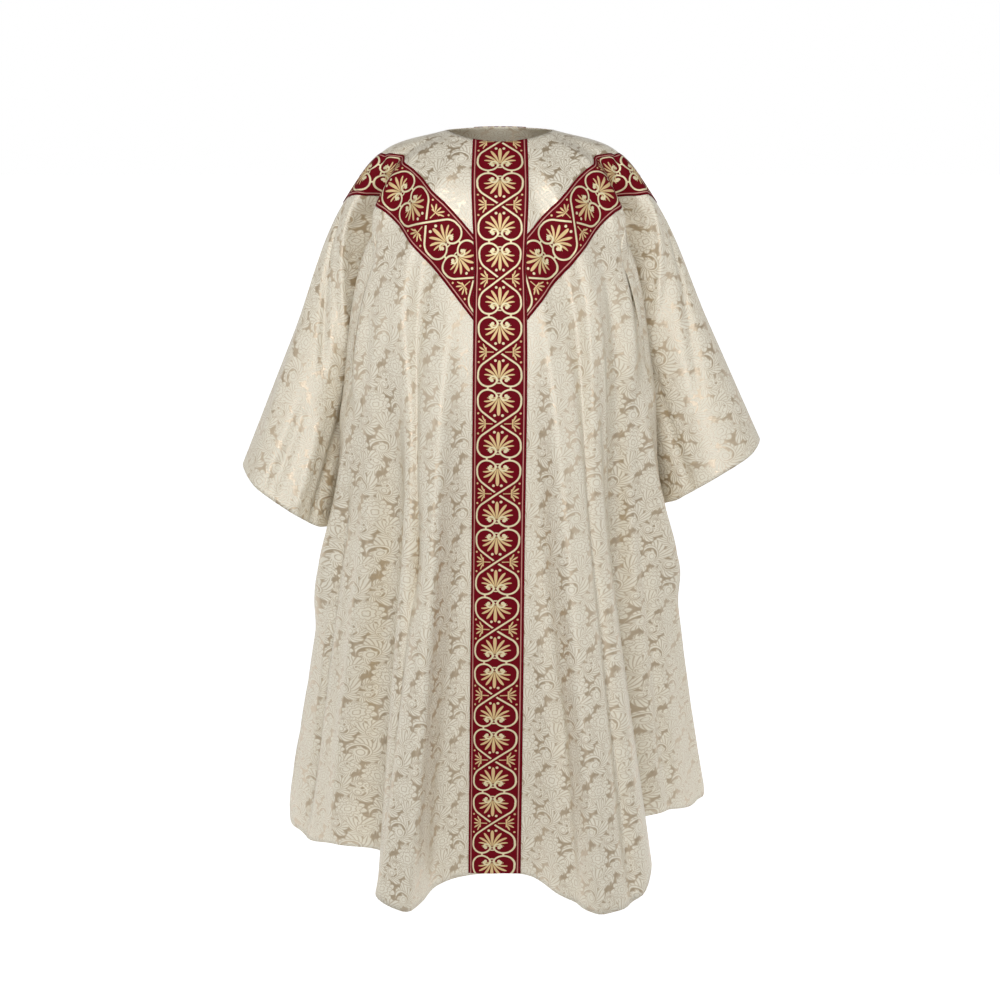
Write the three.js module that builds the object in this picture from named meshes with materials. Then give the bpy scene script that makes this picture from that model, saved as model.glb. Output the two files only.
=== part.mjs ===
// Gothic chasuble: a front and a back of one outline, seamed along the shoulders from the neck to the
// tips of the sleeves and open at the sides, with woven bands laid on as a cross with raised arms.
// Millimetres. +Z is up, -Y is the front, the origin is the middle of the neck opening.
import * as THREE from 'three';

const WALL = 2;                 // damask with its backing, as a solid wall
const BAND_WALL = 1.2;          // woven band
const SEAM_GAP = 0.3;           // air left between two pieces that are sewn together
const BAND_WIDTH = 86;
const NECK_REACH = 100;         // from the pole of the cut to the neck edge
const YOKE_LENGTH = 103;        // neck edge to the ring round the shoulder points
const BREAK_LENGTH = 215;       // neck edge to the ring where the cloth starts to hang free
const BREAK_SHARE = 0.2;        // share of each fall line that lies above that ring
const YOKE_TUCK = 0.45;         // how much of a fold's tuck is there already at the shoulder points
const SHOULDER_TURN = 78;       // angle of the shoulder seam in the cut, from the centre line
const CENTRE_LEAN = -14;        // the centre line ends this far to the side of the middle
const BAND_FOOT = 327;          // pole to where a slanting band's middle meets the centre band
const BAND_LEAN = 40;           // slanting band, degrees from the centre line in the cut
const YOKE_STEPS = 5;
const HANG_STEPS = 12;
const CLOTH_STEP = 31;          // width of one strip of cloth at the hem
const SNAP = 1.2;               // a panel point this near a band's edge is taken as on it

// Three rings over the shoulders.
const RINGS = {
  //            half width, front depth, back depth, front z, side z, back z
  neck:  { half: 88,  front: 85,  back: 78,  zFront: -18,  zSide: 0,    zBack: 4 },
  yoke:  { half: 186, front: 146, back: 128, zFront: -104, zSide: -30,  zBack: -62 },
  break: { half: 255, front: 180, back: 158, zFront: -214, zSide: -112, zBack: -180 },
};

// One row for each fold, from the centre line round to the top of the sleeve.
// ring: degrees round the shoulders, turn: degrees in the cut at the hem,
// tuck: drawn in at the break ring, bow: pushed out halfway down,
// x, front, back, z: where the fall line ends at the hem on the front and on the back.
const COLUMNS = ['name', 'ring', 'turn', 'tuck', 'bow', 'x', 'front', 'back', 'z', 'zBack'];
const LEFT_FOLDS = [
  ['centre',    0,  0,    0,   15,  0,   -165, 215, -1236, -1262],
  ['dip',       6,  3,    0,   10,  77,  -165, 225, -1245, -1266],
  ['lobe',      18, 8.5,  3,   12,  162, -245, 280, -1268, -1284],
  ['lobe_side', 25, 11.5, 0,   5,   212, -218, 245, -1245, -1262],
  ['gully',     31, 16,   -8,  -12, 195, -120, 150, -1228, -1240],
  ['apron',     42, 20,   5,   8,   285, -95,  175, -1212, -1226],
  ['side',      51, 24.5, 4,   6,   350, -35,  130, -1215, -1222],
  ['corner',    56, 27.5, 0,   -18, 372, 12,   92,  -1176, -1190],
  ['edge_low',  60, 36,   14,  -8,  318, 34,   96,  -985,  -1000],
  ['edge_top',  64, 48,   30,  -8,  268, 36,   98,  -796,  -812],
  ['pit',       68, 59,   38,  -14, 276, 8,    84,  -690,  -706],
  ['cuff_in',   74, 65,   12,  -5,  310, -72,  70,  -652,  -660],
  ['cuff_mid',  80, 69.5, 0,   5,   352, -102, 56,  -620,  -624],
  ['cuff_out',  85, 73.5, 0,   5,   407, -98,  10,  -580,  -582],
  ['sleeve',    90, 78,   0,   0,   433, -45,  -45, -550,  -550],
];
const RIGHT_FOLDS = [
  ['centre',    0,  0,    0,   15,  0,   -165, 215, -1236, -1262],
  ['dip',       6,  2.5,  0,   10,  52,  -168, 225, -1240, -1266],
  ['swell',     12, 5,    0,   5,   104, -205, 250, -1260, -1276],
  ['lobe',      18, 8.5,  4,   12,  170, -248, 280, -1271, -1284],
  ['lobe_side', 23, 12,   -2,  5,   240, -220, 245, -1252, -1264],
  ['lip',       26, 14,   -8,  -8,  256, -175, 205, -1212, -1240],
  ['gully',     30, 18,   -6,  -12, 228, -100, 148, -1195, -1228],
  ['apron',     42, 22,   6,   8,   290, -62,  170, -1165, -1206],
  ['side',      50, 26,   4,   6,   348, -5,   130, -1168, -1200],
  ['corner',    54, 29,   0,   -18, 363, 25,   95,  -1142, -1172],
  ['edge_low',  58, 37,   14,  -8,  312, 40,   98,  -985,  -1000],
  ['edge_top',  62, 48,   30,  -8,  262, 36,   98,  -780,  -800],
  ['pit',       67, 59,   38,  -14, 268, 4,    84,  -655,  -676],
  ['cuff_in',   74, 65,   12,  -5,  303, -70,  70,  -605,  -616],
  ['cuff_mid',  80, 69.5, 0,   5,   357, -102, 56,  -565,  -570],
  ['cuff_out',  85, 73.5, 0,   5,   415, -90,  10,  -529,  -532],
  ['sleeve',    90, 78,   0,   0,   436, -45,  -45, -507,  -507],
];

const rad = (degrees) => degrees * Math.PI / 180;
const mix = (a, b, f) => a + (b - a) * f;
const span = (a, b) => Math.hypot(a[0] - b[0], a[1] - b[1], a[2] - b[2]);

function ringPoint(ring, angle) {
  const c = Math.cos(angle);
  const depth = c > 0 ? ring.front : ring.back;
  const zEnd = c > 0 ? ring.zFront : ring.zBack;
  return [ring.half * Math.sin(angle), -depth * c, ring.zSide + (zEnd - ring.zSide) * c * c];
}

// A fall line: neck, yoke, break, halfway down and hem, with its place round the ring and in the cut.
function fallLine(row, sideSign, onBack) {
  const fold = Object.fromEntries(COLUMNS.map((column, k) => [column, row[k]]));
  const angle = rad(onBack ? 180 - fold.ring : fold.ring);
  const out = [Math.sin(angle), -Math.cos(angle), 0];
  const push = (point, by) => point.map((value, k) => value + out[k] * by);
  const top = ringPoint(RINGS.neck, angle);
  const yoke = push(ringPoint(RINGS.yoke, angle), -fold.tuck * YOKE_TUCK);
  const brk = push(ringPoint(RINGS.break, angle), -fold.tuck);
  const hem = [fold.x, onBack ? fold.back : fold.front, onBack ? fold.zBack : fold.z];
  const half = push(brk.map((value, k) => mix(value, hem[k], 0.5)), fold.bow);
  const points = [top, yoke, brk, half, hem].map(([x, y, z]) => [x * sideSign, y, z]);
  if (fold.name === 'centre') {
    points[3][0] += CENTRE_LEAN / 2;
    points[4][0] += CENTRE_LEAN;
  }
  const hang = span(points[2], points[3]) + span(points[3], points[4]);
  return {
    key: sideSign * (onBack ? 180 - fold.ring : fold.ring),
    turn: sideSign * (onBack ? 2 * SHOULDER_TURN - fold.turn : fold.turn),
    knots: [0, YOKE_LENGTH, BREAK_LENGTH, BREAK_LENGTH + hang / 2, BREAK_LENGTH + hang],
    hang,
    points,
  };
}

// Smooth curve through values at uneven knots.
function through(knots, values, x) {
  const last = knots.length - 1;
  let k = 0;
  while (k < last - 1 && x >= knots[k + 1]) k += 1;
  const step = (i) => knots[i + 1] - knots[i];
  const slope = (i, n) => (values[i + 1][n] - values[i][n]) / step(i);
  const tangent = (i, n) => {
    if (i === 0) return slope(0, n);
    if (i === last) return slope(last - 1, n);
    return (step(i) * slope(i - 1, n) + step(i - 1) * slope(i, n)) / (step(i) + step(i - 1));
  };
  const h = step(k);
  const f = (x - knots[k]) / h;
  return values[k].map((value, n) => (
    value * (2 * f ** 3 - 3 * f ** 2 + 1) + values[k + 1][n] * (3 * f ** 2 - 2 * f ** 3)
    + h * tangent(k, n) * (f ** 3 - 2 * f ** 2 + f) + h * tangent(k + 1, n) * (f ** 3 - f ** 2)
  ));
}

// The closed run of fall lines, once round the body, with three repeated at either end.
const lines = [
  ...LEFT_FOLDS.map((row) => fallLine(row, -1, false)),
  ...LEFT_FOLDS.slice(0, -1).map((row) => fallLine(row, -1, true)),
  ...RIGHT_FOLDS.slice(1).map((row) => fallLine(row, 1, false)),
  ...RIGHT_FOLDS.slice(1, -1).map((row) => fallLine(row, 1, true)),
].sort((a, b) => a.key - b.key);
const around = (line, turns) => ({
  ...line, key: line.key + 360 * turns, turn: line.turn + 4 * SHOULDER_TURN * turns,
});
const loop = [
  ...lines.slice(-3).map((line) => around(line, -1)),
  ...lines,
  ...lines.slice(0, 3).map((line) => around(line, 1)),
];

// The four fall lines about a key are all that a point between them needs.
function near(key) {
  let k = 1;
  while (k < loop.length - 3 && key >= loop[k + 1].key) k += 1;
  return loop.slice(k - 1, k + 3);
}

function clothPoint(key, share) {
  const four = near(key);
  const along = (line) => {
    const x = share < BREAK_SHARE
      ? share / BREAK_SHARE * BREAK_LENGTH
      : BREAK_LENGTH + (share - BREAK_SHARE) / (1 - BREAK_SHARE) * line.hang;
    return through(line.knots, line.points, x);
  };
  return through(four.map((line) => line.key), four.map(along), key);
}

function clothNormal(key, share) {
  const a = 0.4;
  const b = 0.004;
  const low = Math.max(share - b, 0);
  const high = Math.min(share + b, 1);
  const across = new THREE.Vector3(...clothPoint(key + a, share)).sub(new THREE.Vector3(...clothPoint(key - a, share)));
  const down = new THREE.Vector3(...clothPoint(key, high)).sub(new THREE.Vector3(...clothPoint(key, low)));
  return down.cross(across).normalize();
}

// Where a point of the cloth lies in its flat cut: across from the centre line, and down from the pole.
function cutPoint(key, share) {
  const four = near(key);
  const [turn, hang] = through(four.map((line) => line.key), four.map((line) => [line.turn, line.hang]), key);
  const onBack = Math.abs(key) > 90;
  const own = (degrees) => rad(onBack ? Math.sign(key) * 2 * SHOULDER_TURN - degrees : degrees);
  const top = own(key / 90 * SHOULDER_TURN);
  const hem = own(turn);
  const reach = NECK_REACH + Math.min(share, BREAK_SHARE) / BREAK_SHARE * BREAK_LENGTH;
  const f = Math.max(share - BREAK_SHARE, 0) / (1 - BREAK_SHARE);
  const full = NECK_REACH + BREAK_LENGTH + hang;
  return [
    mix(reach * Math.sin(top), full * Math.sin(hem), f),
    mix(-reach * Math.cos(top), -full * Math.cos(hem), f),
  ];
}

// Grid of one panel: keys across it, shares down it, each node with its point, normal and cut place.
function panelGrid(onBack) {
  const own = loop.filter((line) => (onBack ? line.key >= 90 && line.key <= 183 : Math.abs(line.key) <= 90));
  const other = onBack ? lines.filter((line) => line.key <= -90).map((line) => around(line, 1)) : [];
  const row = [...own.filter((line) => line.key < 179.9), ...other.filter((line) => line.key >= 179.9)]
    .filter((line, k, all) => k === 0 || line.key - all[k - 1].key > 0.01)
    .sort((a, b) => a.key - b.key);
  const keys = [];
  for (let k = 0; k + 1 < row.length; k += 1) {
    const width = span(row[k].points[4], row[k + 1].points[4]);
    const parts = Math.max(1, Math.min(4, Math.round(width / CLOTH_STEP)));
    for (let i = 0; i < parts; i += 1) keys.push(mix(row[k].key, row[k + 1].key, i / parts));
  }
  keys.push(row[row.length - 1].key);
  const shares = [];
  for (let j = 0; j <= YOKE_STEPS; j += 1) shares.push(BREAK_SHARE * j / YOKE_STEPS);
  for (let j = 1; j <= HANG_STEPS; j += 1) shares.push(mix(BREAK_SHARE, 1, j / HANG_STEPS));
  const wrap = (key) => (key > 180 ? key - 360 : key);
  const nodes = keys.map((key, i) => shares.map((share) => {
    const at = wrap(key);
    const point = new THREE.Vector3(...clothPoint(at, share));
    const atSeam = i === 0 || i === keys.length - 1;
    if (atSeam) point.y += (onBack ? 1 : -1) * SEAM_GAP / 2;
    const cut = cutPoint(atSeam ? Math.sign(at) * (onBack ? 90.001 : 89.999) : at, share);
    return { point, normal: clothNormal(at, share), cut };
  }));
  return { nodes, columns: keys.length, rows: shares.length };
}

// Triangles of a grid, each as three nodes, wound so that they face out of the garment.
function gridFaces({ nodes, columns, rows }) {
  const faces = [];
  for (let i = 0; i + 1 < columns; i += 1) {
    for (let j = 0; j + 1 < rows; j += 1) {
      const [a, b, c, d] = [nodes[i][j], nodes[i + 1][j], nodes[i + 1][j + 1], nodes[i][j + 1]];
      const even = (i + j) % 2 === 0;
      faces.push(even ? [a, c, b] : [a, d, b]);
      faces.push(even ? [a, d, c] : [b, d, c]);
    }
  }
  return faces;
}

// Cuts a face with the line side(node) = 0 and keeps the part where it is positive.
function clip(face, side) {
  const out = [];
  face.forEach((node, k) => {
    const next = face[(k + 1) % face.length];
    const snapped = (value) => (Math.abs(value) < SNAP ? 0 : value);
    const here = snapped(side(node));
    const there = snapped(side(next));
    if (here >= 0) out.push(node);
    if (here * there < 0) {
      const f = here / (here - there);
      out.push({
        point: node.point.clone().lerp(next.point, f),
        normal: node.normal.clone().lerp(next.normal, f).normalize(),
        cut: node.cut.map((value, n) => mix(value, next.cut[n], f)),
      });
    }
  });
  return out;
}

// A closed body from faces on the cloth, its two skins moved along the normals.
function thicken(faces, inner, outer) {
  const points = [];
  const ids = new Map();
  const idOf = (node) => {
    const name = node.point.toArray().map((value) => Math.round(value * 50)).join(' ');
    if (!ids.has(name)) {
      ids.set(name, points.length);
      points.push(node);
    }
    return ids.get(name);
  };
  const triangles = [];
  faces.forEach((face) => {
    const corner = face.map(idOf).filter((id, k, all) => id !== all[(k + 1) % all.length]);
    for (let k = 1; k + 1 < corner.length; k += 1) triangles.push([corner[0], corner[k], corner[k + 1]]);
  });
  const count = points.length;
  const positions = [];
  [outer, inner].forEach((shift) => points.forEach((node) => {
    positions.push(...node.point.clone().addScaledVector(node.normal, shift).toArray());
  }));
  const edges = new Map();
  const index = [];
  triangles.forEach(([a, b, c]) => {
    index.push(a, b, c, a + count, c + count, b + count);
    [[a, b], [b, c], [c, a]].forEach(([p, q]) => edges.set(`${p} ${q}`, [p, q]));
  });
  edges.forEach(([p, q]) => {
    if (!edges.has(`${q} ${p}`)) index.push(p, p + count, q + count, p, q + count, q);
  });
  const geometry = new THREE.BufferGeometry();
  geometry.setAttribute('position', new THREE.Float32BufferAttribute(positions, 3));
  geometry.setIndex(index);
  geometry.computeVertexNormals();
  return geometry;
}

const damask = new THREE.MeshStandardMaterial({ name: 'damask', color: 0xd9cbb2, roughness: 0.55 });
const braid = new THREE.MeshStandardMaterial({ name: 'band_weave', color: 0x7d1626, roughness: 0.7 });
const group = new THREE.Group();
group.name = 'gothic_chasuble';

function addPiece(name, geometry, material) {
  const mesh = new THREE.Mesh(geometry, material);
  mesh.name = name;
  group.add(mesh);
}

// Strips of the cut that the bands cover: one down the middle, one slanting to each shoulder.
const HALF = BAND_WIDTH / 2;
const slant = (node, side) => (
  (node.cut[0] * side - HALF) * Math.cos(rad(BAND_LEAN)) - (node.cut[1] + BAND_FOOT) * Math.sin(rad(BAND_LEAN))
);
const EDGES = {
  orphrey: [(node) => HALF - node.cut[0], (node) => HALF + node.cut[0]],
  slant_left: [
    (node) => -node.cut[0] - HALF - SEAM_GAP, (node) => HALF - slant(node, -1), (node) => HALF + slant(node, -1),
  ],
  slant_right: [
    (node) => node.cut[0] - HALF - SEAM_GAP, (node) => HALF - slant(node, 1), (node) => HALF + slant(node, 1),
  ],
};

['front', 'back'].forEach((panel) => {
  const faces = gridFaces(panelGrid(panel === 'back'));
  addPiece(`${panel}_panel`, thicken(faces, -WALL / 2, WALL / 2), damask);
  Object.entries(EDGES).forEach(([band, sides]) => {
    const covered = faces
      .map((face) => sides.reduce((part, side) => (part.length ? clip(part, side) : part), face))
      .filter((face) => face.length > 2);
    const lift = WALL / 2 + SEAM_GAP;
    addPiece(`${panel}_${band}`, thicken(covered, lift, lift + BAND_WALL), braid);
  });
});

export default group;
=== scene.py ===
import bpy
import numpy as np
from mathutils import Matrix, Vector


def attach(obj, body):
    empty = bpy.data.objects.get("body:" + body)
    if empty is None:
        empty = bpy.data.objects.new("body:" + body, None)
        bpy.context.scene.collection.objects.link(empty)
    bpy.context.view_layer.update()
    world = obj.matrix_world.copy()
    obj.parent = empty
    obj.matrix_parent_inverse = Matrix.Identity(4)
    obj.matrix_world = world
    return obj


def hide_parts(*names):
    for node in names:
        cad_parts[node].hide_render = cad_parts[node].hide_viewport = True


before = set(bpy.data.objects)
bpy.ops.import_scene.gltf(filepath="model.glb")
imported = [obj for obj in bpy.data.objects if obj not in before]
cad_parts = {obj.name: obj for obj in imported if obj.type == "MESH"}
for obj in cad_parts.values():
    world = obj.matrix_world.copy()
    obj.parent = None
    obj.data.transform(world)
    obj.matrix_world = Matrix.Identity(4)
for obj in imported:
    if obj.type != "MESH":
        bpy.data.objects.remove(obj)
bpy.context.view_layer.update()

# Camera
# In front of the chasuble at about shoulder height, 3.1 m away and tipped down 12 degrees.
CAMERA_PLACE = (0.0, -3.1, 0.036)
CAMERA_PITCH = 12.0
SENSOR_MM = 36.0
LENS_MM = 1.845 * SENSOR_MM
CAMERA_REACH = 50.0

view = bpy.data.objects.new("view", bpy.data.cameras.new("view"))
view.data.sensor_width = SENSOR_MM
view.data.lens = LENS_MM
view.data.clip_end = CAMERA_REACH
view.location = CAMERA_PLACE
view.rotation_euler = (np.radians(90 - CAMERA_PITCH), 0, 0)
bpy.context.collection.objects.link(view)
bpy.context.scene.camera = view


# Front panel
# One width of silk-look damask, round at the neck, seamed to the back from the neck to the sleeve
# tips and open below them. Its weight hangs in folds from the shoulders and along the sleeves.
MM = 0.001
NECK_REACH = 100.0              # pole of the cut to the neck edge
YOKE_LENGTH = 103.0             # neck edge to the ring round the shoulder points
BREAK_LENGTH = 215.0            # neck edge to the ring where the cloth hangs free
BREAK_SHARE = 0.2               # share of a fall line above that ring
YOKE_TUCK = 0.45
SHOULDER_TURN = 78.0            # shoulder seam in the cut, degrees from the centre line
CENTRE_LEAN = -14.0
CLOTH_WALL = 1.4 * MM
SEAM_HOLD = 22.0                # how far a shoulder seam flattens the small folds
CREASE_LEAD = 0.15              # how far a small fold runs on past its ends, as a share of itself
CREASE_RISE = 0.35              # the stretches over which it grows and dies away
CREASE_FALL = 0.30
KEY_STEP = 0.4                  # steps to both sides that find the cloth's normal
SHARE_STEP = 0.004

# half width, front depth, back depth, front z, side z, back z
NECK_RING = (88, 85, 78, -18, 0, 4)
YOKE_RING = (186, 146, 128, -104, -30, -62)
BREAK_RING = (255, 180, 158, -214, -112, -180)

# Folds from the centre line round to the top of the sleeve: degrees round the shoulders, degrees in
# the cut at the hem, tuck at the break ring, bow halfway down, and the place of the hem.
FOLD_COLUMNS = ("name", "ring", "turn", "tuck", "bow", "x", "front", "back", "z", "z_back")
LEFT_FOLDS = [
    ("centre",    0,  0,    0,   15,  0,   -165, 215, -1236, -1262),
    ("dip",       6,  3,    0,   10,  77,  -165, 225, -1245, -1266),
    ("lobe",      18, 8.5,  3,   12,  162, -245, 280, -1268, -1284),
    ("lobe_side", 25, 11.5, 0,   5,   212, -218, 245, -1245, -1262),
    ("gully",     31, 16,   -8,  -12, 195, -120, 150, -1228, -1240),
    ("apron",     42, 20,   5,   8,   285, -95,  175, -1212, -1226),
    ("side",      51, 24.5, 4,   6,   350, -35,  130, -1215, -1222),
    ("corner",    56, 27.5, 0,   -18, 372, 12,   92,  -1176, -1190),
    ("edge_low",  60, 36,   14,  -8,  318, 34,   96,  -985,  -1000),
    ("edge_top",  64, 48,   30,  -8,  268, 36,   98,  -796,  -812),
    ("pit",       68, 59,   38,  -14, 276, 8,    84,  -690,  -706),
    ("cuff_in",   74, 65,   12,  -5,  310, -72,  70,  -652,  -660),
    ("cuff_mid",  80, 69.5, 0,   5,   352, -102, 56,  -620,  -624),
    ("cuff_out",  85, 73.5, 0,   5,   407, -98,  10,  -580,  -582),
    ("sleeve",    90, 78,   0,   0,   433, -45,  -45, -550,  -550),
]
RIGHT_FOLDS = [
    ("centre",    0,  0,    0,   15,  0,   -165, 215, -1236, -1262),
    ("dip",       6,  2.5,  0,   10,  52,  -168, 225, -1240, -1266),
    ("swell",     12, 5,    0,   5,   104, -205, 250, -1260, -1276),
    ("lobe",      18, 8.5,  4,   12,  170, -248, 280, -1271, -1284),
    ("lobe_side", 23, 12,   -2,  5,   240, -220, 245, -1252, -1264),
    ("lip",       26, 14,   -8,  -8,  256, -175, 205, -1212, -1240),
    ("gully",     30, 18,   -6,  -12, 228, -100, 148, -1195, -1228),
    ("apron",     42, 22,   6,   8,   290, -62,  170, -1165, -1206),
    ("side",      50, 26,   4,   6,   348, -5,   130, -1168, -1200),
    ("corner",    54, 29,   0,   -18, 363, 25,   95,  -1142, -1172),
    ("edge_low",  58, 37,   14,  -8,  312, 40,   98,  -985,  -1000),
    ("edge_top",  62, 48,   30,  -8,  262, 36,   98,  -780,  -800),
    ("pit",       67, 59,   38,  -14, 268, 4,    84,  -655,  -676),
    ("cuff_in",   74, 65,   12,  -5,  303, -70,  70,  -605,  -616),
    ("cuff_mid",  80, 69.5, 0,   5,   357, -102, 56,  -565,  -570),
    ("cuff_out",  85, 73.5, 0,   5,   415, -90,  10,  -529,  -532),
    ("sleeve",    90, 78,   0,   0,   436, -45,  -45, -507,  -507),
]

# Smaller folds, each a soft trough (depth below 0) or ridge that runs down the cloth: the share of
# the way down and the degrees round at its top, the same at its bottom, its width, and its depth
# at the top and at the bottom.
FRONT_CREASES = [
    # left of the band
    (0.20, -7,  1.00, -10, 24, 0,   -11),
    (0.20, -27, 0.60, -22, 18, -14, -20),
    (0.52, -22, 1.00, -26, 20, -18, -18),
    (0.25, -16, 0.98, -17, 18, 9,   12),
    (0.28, -33, 0.80, -36, 12, 3,   -7),
    (0.21, -58, 0.42, -56, 34, -36, -18),
    (0.21, -52, 0.42, -51, 18, -24, -8),
    (0.16, -52, 0.42, -45, 12, 5,   8),
    (0.46, -48, 0.70, -54, 13, 12,  12),
    (0.55, -53, 1.00, -56, 16, 13,  6),
    (0.25, -39, 0.95, -43, 16, 6,   12),
    (0.48, -48, 0.97, -50, 12, -12, -15),
    (0.10, -79, 0.17, -66, 9,  -6,  -9),
    (0.17, -69, 0.48, -66, 24, -40, -22),
    (0.17, -76, 0.55, -73, 7,  7,   5),
    (0.20, -81, 0.60, -78, 8,  -5,  -6),
    (0.55, -70, 1.00, -75, 8,  -6,  -12),
    (0.72, -76, 1.00, -79, 9,  3,   9),
    (0.70, -80, 1.00, -83, 9,  -3,  -8),
    (0.35, -86, 0.90, -86, 12, 3,   5),
    # right of the band
    (0.25, 8,   0.80, 13,  13, 0,   -11),
    (0.74, 12.6, 1.00, 14, 14, -11, -10),
    (0.20, 14,  0.60, 14,  14, 3,   5),
    (0.20, 23,  1.00, 21.8, 17, -17, -23),
    (0.30, 15.5, 1.00, 18, 16, 7,   12),
    (0.20, 30,  0.75, 29,  14, 8,   11),
    (0.22, 38,  0.65, 36,  11, -7,  -12),
    (0.21, 57,  0.40, 54,  34, -36, -18),
    (0.21, 50,  0.40, 48,  18, -20, -8),
    (0.14, 50,  0.40, 42,  12, 5,   8),
    (0.44, 45,  0.68, 50,  13, 12,  12),
    (0.55, 49,  1.00, 52,  16, 12,  5),
    (0.55, 42,  0.97, 43,  14, -8,  -12),
    (0.10, 79,  0.17, 65,  9,  -6,  -9),
    (0.17, 69,  0.46, 65,  24, -40, -22),
    (0.17, 78,  0.50, 74,  7,  7,   4),
    (0.25, 83,  0.75, 80,  9,  -4,  -5),
    (0.60, 72,  1.00, 76,  9,  -4,  -8),
]
BACK_CREASES = [
    (0.18, -171, 1.00, -170, 22, 0, -11),
    (0.25, -160, 0.98, -163, 15, 5, 9),
    (0.22, -154, 1.00, -156, 15, -8, -16),
    (0.25, -142, 0.95, -138, 16, 5, 9),
    (0.50, -131, 0.97, -132, 13, -8, -11),
    (0.08, -108, 0.20, -120, 10, 4, 9),
    (0.17, -124, 0.60, -128, 13, 9, 13),
    (0.17, -104, 0.55, -106, 9, -8, -6),
    (0.60, -102, 1.00, -100, 10, -4, -9),
    (0.20, 168,  1.00, 167, 16, -3, -12),
    (0.20, 157,  1.00, 158, 14, -9, -17),
    (0.45, 163,  1.00, 162, 14, 4, 9),
    (0.22, 143,  0.75, 146, 13, -5, -12),
    (0.08, 108,  0.20, 122, 10, 4, 9),
    (0.17, 126,  0.60, 130, 12, 9, 13),
    (0.55, 137,  0.97, 136, 14, -8, -11),
    (0.17, 104,  0.50, 106, 8, -9, -6),
    (0.60, 103,  1.00, 100, 10, -4, -8),
]


def ring_points(ring, angle):
    """Points on a ring round the shoulders: an oval whose height runs from its side to its front or
    back value with the square of the cosine."""
    half, front, back, z_front, z_side, z_back = ring
    c = np.cos(angle)
    depth = np.where(c > 0, front, back)
    z_end = np.where(c > 0, z_front, z_back)
    return np.stack([half * np.sin(angle), -depth * c, z_side + (z_end - z_side) * c * c], -1)


def fall_lines(folds, side, on_back):
    """Each fold's line from neck to hem as five points: on the three rings, less the tuck, then
    halfway to the hem, pushed out by the bow, and at the hem."""
    fold = {name: np.array([row[k] for row in folds]) for k, name in enumerate(FOLD_COLUMNS)}
    numbers = {name: values.astype(float) for name, values in fold.items() if name != "name"}
    key = 180 - numbers["ring"] if on_back else numbers["ring"]
    angle = np.radians(key)
    out = np.stack([np.sin(angle), -np.cos(angle), 0 * angle], -1)
    tuck = numbers["tuck"][:, None]
    neck = ring_points(NECK_RING, angle)
    yoke = ring_points(YOKE_RING, angle) - out * tuck * YOKE_TUCK
    brk = ring_points(BREAK_RING, angle) - out * tuck
    hem = np.stack([numbers["x"], numbers["back" if on_back else "front"],
                    numbers["z_back" if on_back else "z"]], -1)
    half = (brk + hem) / 2 + out * numbers["bow"][:, None]
    points = np.stack([neck, yoke, brk, half, hem], 1) * [side, 1, 1]
    middle = fold["name"] == "centre"
    points[middle, 3, 0] += CENTRE_LEAN / 2
    points[middle, 4, 0] += CENTRE_LEAN
    turn = 2 * SHOULDER_TURN - numbers["turn"] if on_back else numbers["turn"]
    return side * key, side * turn, points


def tangents(knots, values):
    """Slope at each knot of a smooth curve: the slopes on its two sides, the nearer knot's more."""
    h = np.diff(knots, axis=1)[..., None]
    slope = np.diff(values, axis=1) / h
    inner = (h[:, 1:] * slope[:, :-1] + h[:, :-1] * slope[:, 1:]) / (h[:, 1:] + h[:, :-1])
    return np.concatenate([slope[:, :1], inner, slope[:, -1:]], 1)


def blend(a, b, slope_a, slope_b, step, f):
    """Cubic between two values with given slopes, f from 0 to 1 across the step."""
    return (a * (2 * f**3 - 3 * f**2 + 1) + b * (3 * f**2 - 2 * f**3)
            + step * slope_a * (f**3 - 2 * f**2 + f) + step * slope_b * (f**3 - f**2))


parts = [fall_lines(LEFT_FOLDS, -1, False), fall_lines(LEFT_FOLDS[:-1], -1, True),
         fall_lines(RIGHT_FOLDS[1:], 1, False), fall_lines(RIGHT_FOLDS[1:-1], 1, True)]
line_key, line_turn, line_points = (np.concatenate([part[k] for part in parts]) for k in range(3))
order = np.argsort(line_key)
wrap = np.concatenate([order[-3:], order, order[:3]])
lap = np.concatenate([[-1] * 3, [0] * len(order), [1] * 3])
line_key = line_key[wrap] + 360 * lap
line_turn = line_turn[wrap] + 4 * SHOULDER_TURN * lap
line_points = line_points[wrap]
steps = np.linalg.norm(np.diff(line_points, axis=1), axis=2)
line_hang = steps[:, 2] + steps[:, 3]
line_knots = np.stack([0 * line_hang, YOKE_LENGTH + 0 * line_hang, BREAK_LENGTH + 0 * line_hang,
                       BREAK_LENGTH + line_hang / 2, BREAK_LENGTH + line_hang], 1)
line_slopes = tangents(line_knots, line_points)


def along_line(line, share):
    """Points on fall lines, by their numbers and the share of each line above the point."""
    low = share / BREAK_SHARE * BREAK_LENGTH
    high = BREAK_LENGTH + (share - BREAK_SHARE) / (1 - BREAK_SHARE) * line_hang[line]
    x = np.where(share < BREAK_SHARE, low, high)
    knots = line_knots[line]
    k = (x[..., None] >= knots[..., 1:4]).sum(-1)
    start, end = (np.take_along_axis(knots, (k + n)[..., None], -1)[..., 0] for n in (0, 1))
    step = (end - start)[..., None]
    f = (x - start)[..., None] / step
    return blend(line_points[line, k], line_points[line, k + 1],
                 line_slopes[line, k], line_slopes[line, k + 1], step, f)


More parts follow.
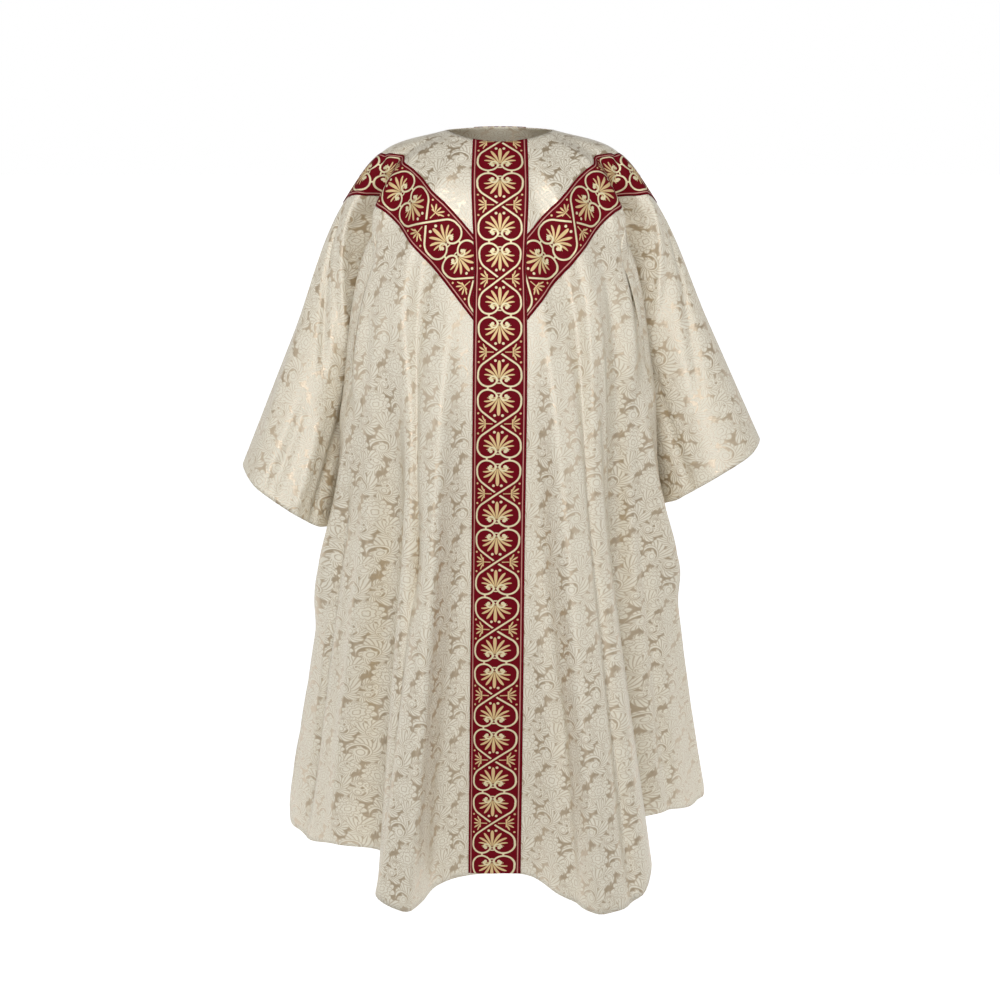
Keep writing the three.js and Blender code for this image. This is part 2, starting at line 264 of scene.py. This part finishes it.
def across_lines(key, value_of):
    """Smooth values between fall lines, from the four lines about each key."""
    k = np.clip(np.searchsorted(line_key, key, side="right") - 1, 1, len(line_key) - 3)
    knots = np.stack([line_key[k + n] for n in (-1, 0, 1, 2)], -1).reshape(-1, 4)
    values = np.stack([value_of(k + n) for n in (-1, 0, 1, 2)], -2)
    shape = values.shape[:-2] + values.shape[-1:]
    values = values.reshape(-1, 4, values.shape[-1])
    slopes = tangents(knots, values)
    step = (knots[:, 2] - knots[:, 1])[:, None]
    f = (np.ravel(key) - knots[:, 1])[:, None] / step
    return blend(values[:, 1], values[:, 2], slopes[:, 1], slopes[:, 2], step, f).reshape(shape)


def cut_place(key, share):
    """Where a point of the cloth lies in its flat cut, in millimetres across and down from the
    pole: by angle and reach down to the break ring, then straight to the hem."""
    turn, hang = np.moveaxis(
        across_lines(key, lambda line: np.stack([line_turn[line], line_hang[line]], -1)), -1, 0)
    on_back = np.abs(key) > 90
    top, hem = (np.radians(np.where(on_back, np.sign(key) * 2 * SHOULDER_TURN - turned, turned))
                for turned in (key / 90 * SHOULDER_TURN, turn))
    reach = NECK_REACH + np.minimum(share, BREAK_SHARE) / BREAK_SHARE * BREAK_LENGTH
    full = NECK_REACH + BREAK_LENGTH + hang
    f = np.maximum(share - BREAK_SHARE, 0) / (1 - BREAK_SHARE)
    across = reach * np.sin(top) * (1 - f) + full * np.sin(hem) * f
    down = -reach * np.cos(top) * (1 - f) - full * np.cos(hem) * f
    return np.stack([across, down], -1)


def crease_height(key, share):
    """Height of the small folds: for each, a bell across its line times a depth that runs from its
    top to its bottom value and dies away past both ends. The shoulder seams hold the cloth flat."""
    spread = np.linalg.norm(cut_place(key + 0.5, share) - cut_place(key - 0.5, share), axis=-1)
    height = np.zeros(key.shape)
    for share0, key0, share1, key1, width, depth0, depth1 in FRONT_CREASES + BACK_CREASES:
        s = (share - share0) / (share1 - share0)
        off = (key - key0 - (key1 - key0) * s) * spread
        ends = np.clip((s + CREASE_LEAD) / CREASE_RISE, 0, 1)
        ends = ends * np.clip((1 + CREASE_LEAD - s) / CREASE_FALL, 0, 1)
        ends = ends * ends * (3 - 2 * ends)
        depth = depth0 + (depth1 - depth0) * np.clip(s, 0, 1)
        height += depth * ends * np.exp(-(off / width) ** 2)
    from_seam = np.abs(90 - np.abs(key)) * spread
    return height * (1 - np.exp(-(from_seam / SEAM_HOLD) ** 2))


def cloth_form(key, share):
    """The cloth's points and outward normals, before the small folds."""
    def form(k, s):
        return across_lines(k, lambda line: along_line(line, s))
    low, high = np.clip(share - SHARE_STEP, 0, 1), np.clip(share + SHARE_STEP, 0, 1)
    down = form(key, high) - form(key, low)
    across = form(key + KEY_STEP, share) - form(key - KEY_STEP, share)
    normal = np.cross(down, across)
    normal /= np.linalg.norm(normal, axis=-1, keepdims=True)
    return form(key, share), normal


def cloth(key, share, lift=0.0):
    """The draped cloth in metres: its form, moved out by the small folds and a lift."""
    points, normal = cloth_form(key, share)
    height = crease_height(key, share)
    return (points + normal * (height + lift)[..., None]) * MM


def lay_grid(name, points, cut):
    """A mesh from a grid of points, with the cut's place as its UV map in metres."""
    rows, columns = points.shape[:2]
    index = np.arange(rows * columns).reshape(rows, columns)
    corners = [index[:-1, :-1], index[:-1, 1:], index[1:, 1:], index[1:, :-1]]
    quads = np.stack(corners, -1).reshape(-1, 4)
    mesh = bpy.data.meshes.new(name)
    mesh.from_pydata(points.reshape(-1, 3).tolist(), [], quads.tolist())
    layer = mesh.uv_layers.new(name="cut")
    layer.data.foreach_set("uv", (cut.reshape(-1, 2)[quads.ravel()]).astype(np.float32).ravel())
    mesh.shade_smooth()
    piece = bpy.data.objects.new(name, mesh)
    bpy.context.collection.objects.link(piece)
    return piece


def give_wall(piece, wall):
    """A wall of one thickness, half of it on each side of the surface."""
    solid = piece.modifiers.new("wall", "SOLIDIFY")
    solid.thickness = wall
    solid.offset = 0
    solid.use_even_offset = False


class Field:
    """A shader value that takes part in ordinary sums."""

    def __init__(self, tree, socket):
        self.tree, self.socket = tree, socket

    def make(self, kind, settings=None, inputs=None, output=0):
        """Any other node, from its type, its settings and its inputs."""
        node = self.tree.nodes.new("ShaderNode" + kind)
        for name, value in (settings or {}).items():
            setattr(node, name, value)
        for name, value in (inputs or {}).items():
            if isinstance(value, Field):
                self.tree.links.new(value.socket, node.inputs[name])
            else:
                node.inputs[name].default_value = value
        return Field(self.tree, node.outputs[output])

    def maths(self, operation, *values):
        return self.make("Math", {"operation": operation}, dict(enumerate(values)))

    def __add__(self, other):
        return self.maths("ADD", self, other)

    def __sub__(self, other):
        return self.maths("SUBTRACT", self, other)

    def __rsub__(self, other):
        return self.maths("SUBTRACT", other, self)

    def __mul__(self, other):
        return self.maths("MULTIPLY", self, other)

    def __truediv__(self, other):
        return self.maths("DIVIDE", self, other)

    def __gt__(self, other):
        return self.maths("GREATER_THAN", self, other)

    def __lt__(self, other):
        return self.maths("LESS_THAN", self, other)

    __radd__, __rmul__ = __add__, __mul__

    def sin(self):
        return self.maths("SINE", self)

    def abs(self):
        return self.maths("ABSOLUTE", self)

    def floor(self):
        return self.maths("FLOOR", self)

    def fract(self):
        return self.maths("FRACT", self)

    def sqrt(self):
        return self.maths("SQRT", self)

    def log(self):
        return self.maths("LOGARITHM", self, float(np.e))

    def atan2(self, other):
        return self.maths("ARCTAN2", self, other)

    def least(self, other):
        return self.maths("MINIMUM", self, other)

    def most(self, other):
        return self.maths("MAXIMUM", self, other)

    def wrap(self, top, low):
        return self.maths("WRAP", self, top, low)

    def ramp(self, low, high):
        """0 below low, 1 above high, smooth between."""
        return self.make("MapRange", {"interpolation_type": "SMOOTHSTEP"},
                         {"Value": self, "From Min": low, "From Max": high})

    def pick(self, one, zero):
        """One value where this is 1, the other where it is 0."""
        return self.make("Mix", {"data_type": "FLOAT"}, {"Factor": self, "A": zero, "B": one})

    def tint(self, one, zero):
        """The same for colours."""
        return self.make("Mix", {"data_type": "RGBA"}, {"Factor": self, 6: zero, 7: one}, 2)


PLAIN_GLOSS = 0.2


def start_material(name):
    """A new material, its shader node, and two fields in millimetres from the UV map."""
    material = bpy.data.materials.new(name)
    material.use_nodes = True
    tree = material.node_tree
    shader = tree.nodes["Principled BSDF"]
    shader.inputs["Specular IOR Level"].default_value = PLAIN_GLOSS
    place = Field(tree, None).make("UVMap", {"uv_map": "cut"})
    u, v = (place.make("SeparateXYZ", None, {0: place}, axis) * 1000.0 for axis in (0, 1))
    return material, shader, u, v


def finish_material(shader, colour, roughness, metallic, height, bump):
    """Joins a colour, a roughness, a metallic share and a relief to the shader."""
    tree = shader.id_data
    normal = height.make("Bump", None, {"Height": height, "Strength": 1.0, "Distance": bump})
    for name, value in (("Base Color", colour), ("Roughness", roughness), ("Metallic", metallic),
                        ("Normal", normal)):
        tree.links.new(value.socket, shader.inputs[name])


TAU = 2 * np.pi
REPEAT = (96.0, 116.0)          # the damask's repeat across and down; its second half is dropped
ROSE_RADIUS = 21.0
# the rose's rings of petals: size, number of petals, and turn
ROSE_RINGS = ((1.0, 11, 0.0), (0.74, 9, 1.6), (0.48, 7, 0.4), (0.22, 4, 0.2))
PETAL_HEEL, PETAL_TIP = 0.80, 0.24      # a ring's reach between its petals, and what a petal adds
ROSE_VEINS = 11
# the curled leaves: place across and down, radius, hand, and turn
SCROLLS = [
    (38, -14, 28, 1, 0.55),
    (60, 17, 27, -1, 0.95),
    (21, -34, 21, -1, 0.10),
    (20, 31, 22, 1, 0.80),
    (44, 39, 17, 1, 0.20),
    (73, -13, 17, -1, 0.70),
    (46, -40, 14, -1, 0.40),
]
SCROLL_GROWTH = 3.4             # how much wider a curled leaf is after each turn
SCROLL_TURNS = 1.45
SCROLL_LOBES = 5.0              # lobes to a turn
LOBE_DEPTH = 0.40               # how deep the notches between lobes are cut
LOBE_LEAN = 2.2                 # and how far the lobes lean on
SCROLL_TIP = 0.40               # turns over which the leaf comes to its tip
COIL_WIDTH = 0.92               # share of the space between two coils that the leaf fills
SPINE_PLACE = 0.17              # the spine, across that space
EYE_TURNS = 1.02                # how many turns in from the rim the eye's edge lies
EYE_RING = 0.55
LINE_HALF = 0.35                # half the width of a drawn line
DAMASK_FIGURE = (0.79, 0.745, 0.625, 1)
DAMASK_GROUND = (0.52, 0.405, 0.255, 1)
FIGURE_ROUGHNESS, GROUND_ROUGHNESS = 0.60, 0.36
GROUND_METALLIC = 0.4           # the satin's coloured gleam
GROUND_COAT_IOR = 2.2           # and its white one
GROUND_COAT_ROUGHNESS = 0.36
PUCKER = 0.12 * MM              # relief of the weave
WAVER = 1.5                     # how far the drawing wavers


def nearest(u, v, across, down):
    """Distances across and down from the nearest copy of a place. Its copies lie a repeat apart,
    with more half a repeat across and half a repeat down from them."""
    half_x, half_y = REPEAT[0] / 2, REPEAT[1] / 2
    x0, y0 = (u - across).wrap(half_x, -half_x), (v - down).wrap(half_y, -half_y)
    x1, y1 = (u - across - half_x).wrap(half_x, -half_x), (v - down - half_y).wrap(half_y, -half_y)
    near = (x1 * x1 + y1 * y1) < (x0 * x0 + y0 * y0)
    return near.pick(x1, x0), near.pick(y1, y0)


def rose(x, y, radius):
    """Rings of petals: how far inside the flower, and how far from its drawn lines. The edge of a
    ring swells with the size of the sine of half its petals times the angle. Veins run out
    between the inner rings and the rim."""
    reach, turn = (x * x + y * y).sqrt(), y.atan2(x)
    rings = [size * radius * (PETAL_HEEL + PETAL_TIP * (turn * (count / 2) + start).sin().abs())
             - reach for size, count, start in ROSE_RINGS]
    lines = rings[1].abs().least(rings[2].abs()).least(rings[3].abs()) - 0.45
    veins = (turn * ROSE_VEINS + 0.8).sin().abs() * reach * 0.25 + (rings[2] + 0.6).most(0) * 3
    return rings[0], lines.least(veins - 0.4)


def scroll(x, y, radius, hand, start):
    """A leaf curled into a spiral that grows with each turn, round a ringed eye: how far inside it,
    and how far from its spine and the fine veins that sweep out from the spine to its lobes. The
    logarithm of the distance from the middle, less the angle in turns, gives the winding and the
    place across the coil, and the leaf's edge is scalloped by the size of a sine along the coil."""
    log_growth = float(np.log(SCROLL_GROWTH))
    reach = (x * x + y * y).sqrt() + 0.01
    level = (reach * (SCROLL_GROWTH ** SCROLL_TURNS / radius)).log() / log_growth
    angle = ((hand * y.atan2(x)) / TAU + start).fract()
    winding = (level - angle).floor()
    across = level - angle - winding
    along = winding + angle
    lobe = (along * (SCROLL_LOBES * np.pi) - across * LOBE_LEAN).sin().abs()
    tip = (SCROLL_TURNS - SCROLL_TIP - along).ramp(-0.06, SCROLL_TIP)
    outer = COIL_WIDTH * tip * (1 - LOBE_DEPTH + LOBE_DEPTH * lobe)
    scale = reach * log_growth
    eye = radius * SCROLL_GROWTH ** -EYE_TURNS
    inside = ((outer - across) * scale).most(eye - reach)
    on_eye = (eye - reach).most(0) * 9
    sweep = (along * (SCROLL_LOBES * 4) - across * 2.6 + 0.3).fract()
    veins = ((sweep - 0.5).abs() - 0.13) * reach * 0.34 + (0.24 - across).most(0) * 9 + on_eye
    spine = (across - SPINE_PLACE).abs() * scale - LINE_HALF + on_eye
    return inside, veins.least(spine).least((reach - eye * EYE_RING).abs() - LINE_HALF)


def damask_figure(u, v):
    """The topmost motif at a place: how far inside it, and how far from its lines."""
    inside, lines = rose(*nearest(u, v, 0, 0), ROSE_RADIUS)
    for across, down, radius, hand, start in SCROLLS:
        edge, drawn = scroll(*nearest(u, v, across, down), radius, hand, start)
        over = edge > inside
        inside, lines = over.pick(edge, inside), over.pick(drawn, lines)
    return inside, lines


def damask_material():
    """Satin ground and matt figure in two close creams. The ground is darker but glossier, so it
    turns paler than the figure where it mirrors the light. The drawing wavers a little, as woven.
    The relief is a product of two sines, one across the cloth and one down it."""
    material, shader, u, v = start_material("damask")
    plain_u, plain_v = u, v
    u = u + WAVER * (plain_u / 9 + plain_v / 13).sin()
    v = v + WAVER * (plain_v / 8 - plain_u / 11).sin()
    inside, lines = damask_figure(u, v)
    figure = inside.ramp(0.1, 0.9)
    drawn = (0.2 - lines).ramp(-LINE_HALF, LINE_HALF) * 0.7
    drawn = drawn.most((1.0 - (inside - 0.9).abs().ramp(0.1, 0.7)) * 0.6)
    pale = figure * (1.0 - drawn)
    shader.inputs["Coat IOR"].default_value = GROUND_COAT_IOR
    shader.inputs["Coat Roughness"].default_value = GROUND_COAT_ROUGHNESS
    material.node_tree.links.new((1.0 - pale).socket, shader.inputs["Coat Weight"])
    pucker = (plain_u * 0.9 + (plain_v * 0.21).sin()).sin()
    pucker = pucker * (plain_v * 0.8 + (plain_u * 0.17).sin()).sin()
    finish_material(shader, pale.tint(DAMASK_FIGURE, DAMASK_GROUND),
                    pale.pick(FIGURE_ROUGHNESS, GROUND_ROUGHNESS),
                    pale.pick(0.0, GROUND_METALLIC), pucker, PUCKER)
    return material


PANEL_COLUMNS = 332
PANEL_ROWS = 134
SEAM_INSET = 0.03               # degrees of key that each panel stops short of the shoulder seam
EVEN_SHARE = 0.9                # where, on the way down, the columns are spaced out
EVEN_BY_KEY = 0.6               # and how much the degrees round count beside the length
ROW_CROWDING = 0.25             # how much closer the rows lie at the neck


def even_keys(low, high, count):
    """Keys in equal steps of the length along a line near the hem plus a part of the degrees."""
    fine = np.linspace(low, high, 2000)
    points = across_lines(fine, lambda line: along_line(line, np.full(fine.shape, EVEN_SHARE)))
    run = np.concatenate([[0], np.cumsum(np.linalg.norm(np.diff(points, axis=0), axis=1))])
    run = run / run[-1] + (fine - low) / (high - low) * EVEN_BY_KEY
    return np.interp(np.linspace(0, run[-1], count), run, fine)


def panel_grid(low, high):
    """Keys, shares and draped points of a whole panel."""
    shares = np.linspace(0, 1, PANEL_ROWS)
    shares = shares * (1 - ROW_CROWDING + ROW_CROWDING * shares)
    keys, shares = np.meshgrid(even_keys(low, high, PANEL_COLUMNS), shares)
    wrapped = np.where(keys > 180, keys - 360, keys)
    return wrapped, shares, cloth(wrapped, shares)


keys, shares, points = panel_grid(-90 + SEAM_INSET, 90 - SEAM_INSET)
front_panel = lay_grid("front_panel_cloth", points, cut_place(keys, shares) * MM)
give_wall(front_panel, CLOTH_WALL)
bpy.context.view_layer.update()

damask = damask_material()
front_panel.data.materials.append(damask)
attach(front_panel, "root")
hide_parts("front_panel")

# Back panel
# Cut from the same damask as the front, with a higher neck and a little longer, and seamed to it
# along the shoulders. It hangs from them in the same way.
keys, shares, points = panel_grid(90 + SEAM_INSET, 270 - SEAM_INSET)
back_panel = lay_grid("back_panel_cloth", points, cut_place(keys, shares) * MM)
give_wall(back_panel, CLOTH_WALL)
back_panel.data.materials.append(damask)
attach(back_panel, "root")
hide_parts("back_panel")

# Centre bands
# A woven band of cream scrolls and gold palmettes on crimson. It is sewn flat down the middle of
# each panel, from neck to hem.
BAND_WIDTH = 86.0
BAND_LIFT = 1.5                 # its middle layer above the panel's
BAND_CROWN = 0.5                # how much more it stands up between its stitched edges
BAND_WALL = 0.9 * MM
BAND_COLUMNS = 23
BAND_ROWS = 330
USUAL_HANG = 1030.0             # rough length below the break ring, for a first guess
KEY_NUDGE, SHARE_NUDGE = 0.02, 0.0005


def find_cloth(place, on_back, steps=14):
    """Key and share of places in the cut, by Newton's steps from a polar guess."""
    radius = np.hypot(place[..., 0], place[..., 1])
    angle = np.degrees(np.arctan2(place[..., 0], -place[..., 1]))
    key = np.clip(angle / SHOULDER_TURN * 90, -89.9, 89.9)
    share = np.where(radius < NECK_REACH + BREAK_LENGTH,
                     (radius - NECK_REACH) / BREAK_LENGTH * BREAK_SHARE,
                     BREAK_SHARE + (radius - NECK_REACH - BREAK_LENGTH) / USUAL_HANG
                     * (1 - BREAK_SHARE))

    def at(k, s):
        side = np.where(k < 0, -1.0, 1.0)
        return cut_place(side * (180 - np.abs(k)) if on_back else k, s)

    for _ in range(steps):
        here = at(key, share)
        by_key = (at(key + KEY_NUDGE, share) - at(key - KEY_NUDGE, share)) / (2 * KEY_NUDGE)
        by_share = (at(key, share + SHARE_NUDGE) - at(key, share - SHARE_NUDGE)) / (2 * SHARE_NUDGE)
        miss = place - here
        det = by_key[..., 0] * by_share[..., 1] - by_key[..., 1] * by_share[..., 0]
        move_key = (miss[..., 0] * by_share[..., 1] - miss[..., 1] * by_share[..., 0]) / det
        move_share = (by_key[..., 0] * miss[..., 1] - by_key[..., 1] * miss[..., 0]) / det
        key = np.clip(key + np.clip(move_key, -6, 6), -90, 90)
        share = np.clip(share + np.clip(move_share, -0.06, 0.06), 0, 1)
    return (np.where(key < 0, -1.0, 1.0) * (180 - np.abs(key)) if on_back else key), share


def lay_band(name, place, pattern, on_back):
    """A band on the cloth: its strip of the cut found on the panel and lifted off it, a little more
    in the middle than at its stitched edges."""
    key, share = find_cloth(place, on_back)
    half = BAND_WIDTH / 2 * MM
    crown = BAND_CROWN * (1 - (pattern[..., 0] / half) ** 4)
    band = lay_grid(name, cloth(key, share, BAND_LIFT + crown), pattern)
    give_wall(band, BAND_WALL)
    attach(band, "root")
    return band


PITCH = 114.5                   # from one crossing of the scrolls to the next
DRAWN_PITCH = 119.0             # the same in the drawing's units
STRAND = (24.9, 18.7)           # the straight strand at a crossing, across and down
# leaves: lean in degrees, length, and half width
PALMETTE = [(0, 34, 4.2), (25, 32, 3.4), (48, 30, 3.2), (70, 26, 2.7), (92, 19, 1.9)]
SIDE_FLOWER = [(0, 13, 1.9), (35, 15, 2.0), (65, 15, 1.8)]
# the heart's arcs, each with its centre across and down and its radius
SIDE_ARC = (11.5, 36.5, 22.3)
FOOT_ARC = (17.6, 40.4, 16.4)
CURL_ARC = (8.9, 45.4, 5.6)
CURL_EYE = (11.2, 46.4, 0)
PALMETTE_FOOT = 47.5
FLOWER_FOOT = 20
FAR = 99.0                      # out of reach of any line


def arc(x, y, across, down, radius):
    """Distance from a circle."""
    return (((x - across) * (x - across) + (y - down) * (y - down)).sqrt() - radius).abs()


def leaves(reach, angle, rows, heel):
    """Distance from a fan of leaves, each widest past its middle and pointed at its tip: its half
    width goes with the root of the way from its heel times the way to its tip."""
    nearest_leaf = None
    for lean, length, half in rows:
        along = reach * (1 / length)
        width = ((along - heel).most(0) * (1.0 - along).most(0)).sqrt()
        width = width * (2.0 * half) * (along * 0.5 + 0.5)
        off = (angle - TAU * lean / 360).abs() * reach - width + (along - 1.0).most(0) * FAR
        nearest_leaf = nearest_leaf.least(off) if nearest_leaf else off
    return nearest_leaf


def band_drawing(u, v):
    """Distances in millimetres from the scrolls and from the leaves. Two strands cross, open into
    the arcs of a heart round a palmette, and are tied to the next heart. The drawing is the same on
    both sides of the middle and of the ties, but only one strand of each crossing lies on top."""
    v = (v * (DRAWN_PITCH / PITCH)).wrap(DRAWN_PITCH, 0.0)
    from_tie = v - DRAWN_PITCH / 2
    x, y = u.abs(), DRAWN_PITCH / 2 - from_tie.abs()
    signed = v - (from_tie > 0) * DRAWN_PITCH
    beyond = (signed.abs() > STRAND[1]) * FAR
    length = float(np.hypot(*STRAND))
    top, under = (((u * STRAND[1] + signed * (hand * STRAND[0])) / length).abs() + beyond
                  for hand in (1, -1))
    under = under + (top < 4.4) * FAR
    side = arc(x, y, *SIDE_ARC) + ((y > 37.0).most(y < 18.4).most(x < 20)) * FAR
    past_foot = ((x > FOOT_ARC[0]) * (y < 37.0)).most((x < FOOT_ARC[0]) * (y < 45.0))
    foot = arc(x, y, *FOOT_ARC) + past_foot * FAR
    curl = arc(x, y, *CURL_ARC) + ((y > 46.5) * (x > 5)).most((y > 49) * 1.0) * FAR
    eye = arc(x, y, *CURL_EYE) - 1.4
    heart = top.least(under).least(side).least(foot).least(curl).least(eye) - 1.5
    # the palmette, whose leaves bend outwards as they go
    reach = (x * x + (y - PALMETTE_FOOT) * (y - PALMETTE_FOOT)).sqrt()
    bent = x.atan2(PALMETTE_FOOT - y) / (reach * (0.5 / 32) + 0.55)
    palmette = leaves(reach, bent, PALMETTE, 0.12)
    # the flower at the side, its stem and its cross bar, and the dot beside it
    reach = ((x - FLOWER_FOOT) * (x - FLOWER_FOOT) + y * y).sqrt()
    flower = leaves(reach, y.atan2(x - FLOWER_FOOT), SIDE_FLOWER, 0.15)
    flower = flower.least((y - 0.8).most((x - 14.5).abs() - 5.5))
    flower = flower.least((x - 21.2).abs().most(y - 6.5) - 1.0)
    flower = flower.least(arc(x, y, 33, 17, 0) - 1.7)
    # the tie between two hearts, with a dot and a small bar
    tie = ((x - 17.5).abs() - 1.6).most(DRAWN_PITCH / 2 - y - 4.2)
    small = (arc(x, y, 6, 14, 0) - 2.2).least(tie).least((x - 3.0).most((y - 51).abs() - 1.0))
    return heart.least(small), palmette.least(flower), x


BRAID_GLOSS = 0.08
THREAD_PITCH = 1.1              # from one rib of the weave to the next
EDGE_SOFTNESS = 0.35            # half the width over which one colour gives way to the next
LINE_PLACE = 38.2               # the pale line near each edge, and the grooves beside it
GROOVE_PLACES = (39.9, 36.6)
CRIMSON = (0.165, 0.001, 0.008, 1)
DEEP_CRIMSON = (0.06, 0.001, 0.004, 1)
LINE_ROSE = (0.58, 0.26, 0.22, 1)
LEAF_GOLD = (0.72, 0.53, 0.27, 1)
SCROLL_CREAM = (0.78, 0.70, 0.45, 1)
FLOAT_RELIEF = 0.4 * MM


def braid_material():
    """Crimson weave with the scrolls in cream, the leaves in gold and a pale line near each edge,
    all in floats of thread that stand up a little."""
    material, shader, u, v = start_material("band_weave")
    shader.inputs["Specular IOR Level"].default_value = BRAID_GLOSS
    scrolls, golden, x = band_drawing(u, v)
    cream, gold = (1.0 - drawn.ramp(-EDGE_SOFTNESS, EDGE_SOFTNESS) for drawn in (scrolls, golden))
    border = 1.0 - ((x - LINE_PLACE).abs() - 0.9).ramp(-0.3, 0.3)
    groove = (x - GROOVE_PLACES[0]).abs().least((x - GROOVE_PLACES[1]).abs())
    groove = 1.0 - (groove - 0.5).ramp(-0.3, 0.3)
    rib = (v * (TAU / THREAD_PITCH)).sin() * 0.5 + 0.5
    colour = (rib * 0.35 + groove * 0.5).least(1.0).tint(DEEP_CRIMSON, CRIMSON)
    colour = border.tint(LINE_ROSE, colour)
    colour = gold.tint(LEAF_GOLD, colour)
    colour = cream.tint(SCROLL_CREAM, colour)
    raised = cream.most(gold).most(border)
    finish_material(shader, colour, raised.pick(0.45, 0.62), raised.pick(0.25, 0.0),
                    raised + rib * 0.15, FLOAT_RELIEF)
    return material


braid = braid_material()

for side_name, on_back in (("front", False), ("back", True)):
    _, hang = cut_place(np.array([180.0 if on_back else 0.0]), np.array([1.0]))[0]
    length = -hang - NECK_REACH
    w, s = np.meshgrid(np.linspace(-1, 1, BAND_COLUMNS) * BAND_WIDTH / 2,
                       np.linspace(0, 1, BAND_ROWS))
    reach_at_edge = np.sqrt(NECK_REACH**2 - w**2)
    place = np.stack([w, -(reach_at_edge + (NECK_REACH + length - reach_at_edge) * s)], -1)
    pattern = np.stack([w, -place[..., 1] - NECK_REACH], -1) * MM
    band = lay_band(f"{side_name}_orphrey_band", place, pattern, on_back)
    band.data.materials.append(braid)
    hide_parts(f"{side_name}_orphrey")

# Slanting bands
# The same woven band in four short lengths. Each is sewn flat from the edge of the centre band up
# to the shoulder seam, two in front and two behind.
BAND_FOOT = 327.0               # pole of the cut to where the middle of a band leaves the centre
BAND_LEAN = np.radians(40.0)    # its lean from the centre band
SLANT_ROWS = 110
FOOT_GAP = 0.4
SEAM_GAP = 0.3

for side_name, on_back in (("front", False), ("back", True)):
    for hand_name, hand in (("left", -1), ("right", 1)):
        half = BAND_WIDTH / 2
        w = np.linspace(-1, 1, BAND_COLUMNS)[None, :] * half
        # along the strip from the centre band's edge to the shoulder seam
        start = -w * np.cos(BAND_LEAN) / np.sin(BAND_LEAN) + FOOT_GAP
        seam = np.radians(SHOULDER_TURN)
        px = half + w * np.cos(BAND_LEAN)
        py = -BAND_FOOT - w * np.sin(BAND_LEAN)
        end = (-px * np.cos(seam) - py * np.sin(seam)) / (
            np.sin(BAND_LEAN) * np.cos(seam) + np.cos(BAND_LEAN) * np.sin(seam)) - SEAM_GAP
        s = np.linspace(0, 1, SLANT_ROWS)[:, None]
        run = start + (end - start) * s
        place = np.stack([hand * (px + run * np.sin(BAND_LEAN)), py + run * np.cos(BAND_LEAN)], -1)
        pattern = np.stack([hand * (w + 0 * run), run], -1) * MM
        band = lay_band(f"{side_name}_slant_{hand_name}_band", place, pattern, on_back)
        band.data.materials.append(braid)
        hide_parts(f"{side_name}_slant_{hand_name}")

# Floor and light
# A plain pale floor that glows white behind the chasuble, as a lit sweep does. A large soft light
# hangs high in front, a wide one stands low in front, and one at each side brings out the satin.
FLOOR_LEVEL = -1.5
FLOOR_GLOW = 0.97
GLOW_FROM, GLOW_FULL = -0.55, -0.12     # where, from front to back, the glow begins and is whole
FLOOR_SIDE = 30                         # metres to each side
FLOOR_FRONT, FLOOR_BACK = -12, 40       # its front and back edges
GREY_NEAR, GREY_FAR = 0.35, 0.5         # its own shade before and behind the glow's edge
SKY_FROM, SKY_FULL = -0.2, 0.15         # the same for the sky, which lights up behind
SKY_FADE, SKY_OUT = 0.25, 0.7           # and goes out again higher up
STUDIO_GREY = (0.10, 0.10, 0.105, 1)
LIGHT_TARGET = (0, 0, -0.6)
# name, place, width, height and power
STUDIO_LIGHTS = (
    ("high", (-0.3, -2.7, 1.9), 2.6, 1.9, 72),
    ("front", (0.0, -3.35, -0.3), 2.4, 0.7, 30),
    ("left", (-2.9, -1.9, -0.3), 2.2, 0.8, 12),
    ("right", (2.9, -1.9, -0.3), 2.2, 0.8, 14),
)

floor = bpy.data.meshes.new("floor")
floor_corners = [(-FLOOR_SIDE, FLOOR_FRONT, FLOOR_LEVEL), (FLOOR_SIDE, FLOOR_FRONT, FLOOR_LEVEL),
                 (FLOOR_SIDE, FLOOR_BACK, FLOOR_LEVEL), (-FLOOR_SIDE, FLOOR_BACK, FLOOR_LEVEL)]
floor.from_pydata(floor_corners, [], [(0, 1, 2, 3)])
floor = bpy.data.objects.new("floor", floor)
bpy.context.collection.objects.link(floor)
pale = bpy.data.materials.new("pale_floor")
pale.use_nodes = True
shader = pale.node_tree.nodes["Principled BSDF"]
spot = Field(pale.node_tree, None).make("TexCoord", output=3)
back = spot.make("SeparateXYZ", None, {0: spot}, 1).ramp(GLOW_FROM, GLOW_FULL)
for socket, near, far in (("Base Color", GREY_NEAR, GREY_FAR), ("Emission Color", 0.0, 1.0)):
    grey = back.tint((far, far, far, 1), (near, near, near, 1))
    pale.node_tree.links.new(grey.socket, shader.inputs[socket])
shader.inputs["Emission Strength"].default_value = FLOOR_GLOW
floor.data.materials.append(pale)

world = bpy.data.worlds.new("studio")
bpy.context.scene.world = world
bpy.context.scene.view_settings.view_transform = "Standard"
world.use_nodes = True
sky = Field(world.node_tree, None)
look = sky.make("TexCoord", output=0)
behind, above = (sky.make("SeparateXYZ", None, {0: look}, axis) for axis in (1, 2))
lit = behind.ramp(SKY_FROM, SKY_FULL) * (1.0 - above.ramp(SKY_FADE, SKY_OUT))
shade = lit.tint((1, 1, 1, 1), STUDIO_GREY)
world.node_tree.links.new(shade.socket, world.node_tree.nodes["Background"].inputs["Color"])

for name, place, width, height, power in STUDIO_LIGHTS:
    lamp = bpy.data.lights.new(name, "AREA")
    lamp.energy = power
    lamp.shape = "RECTANGLE"
    lamp.size, lamp.size_y = width, height
    lamp = bpy.data.objects.new(name, lamp)
    lamp.location = place
    aim = Vector(LIGHT_TARGET) - Vector(place)
    lamp.rotation_euler = aim.to_track_quat("-Z", "Y").to_euler()
    bpy.context.collection.objects.link(lamp)
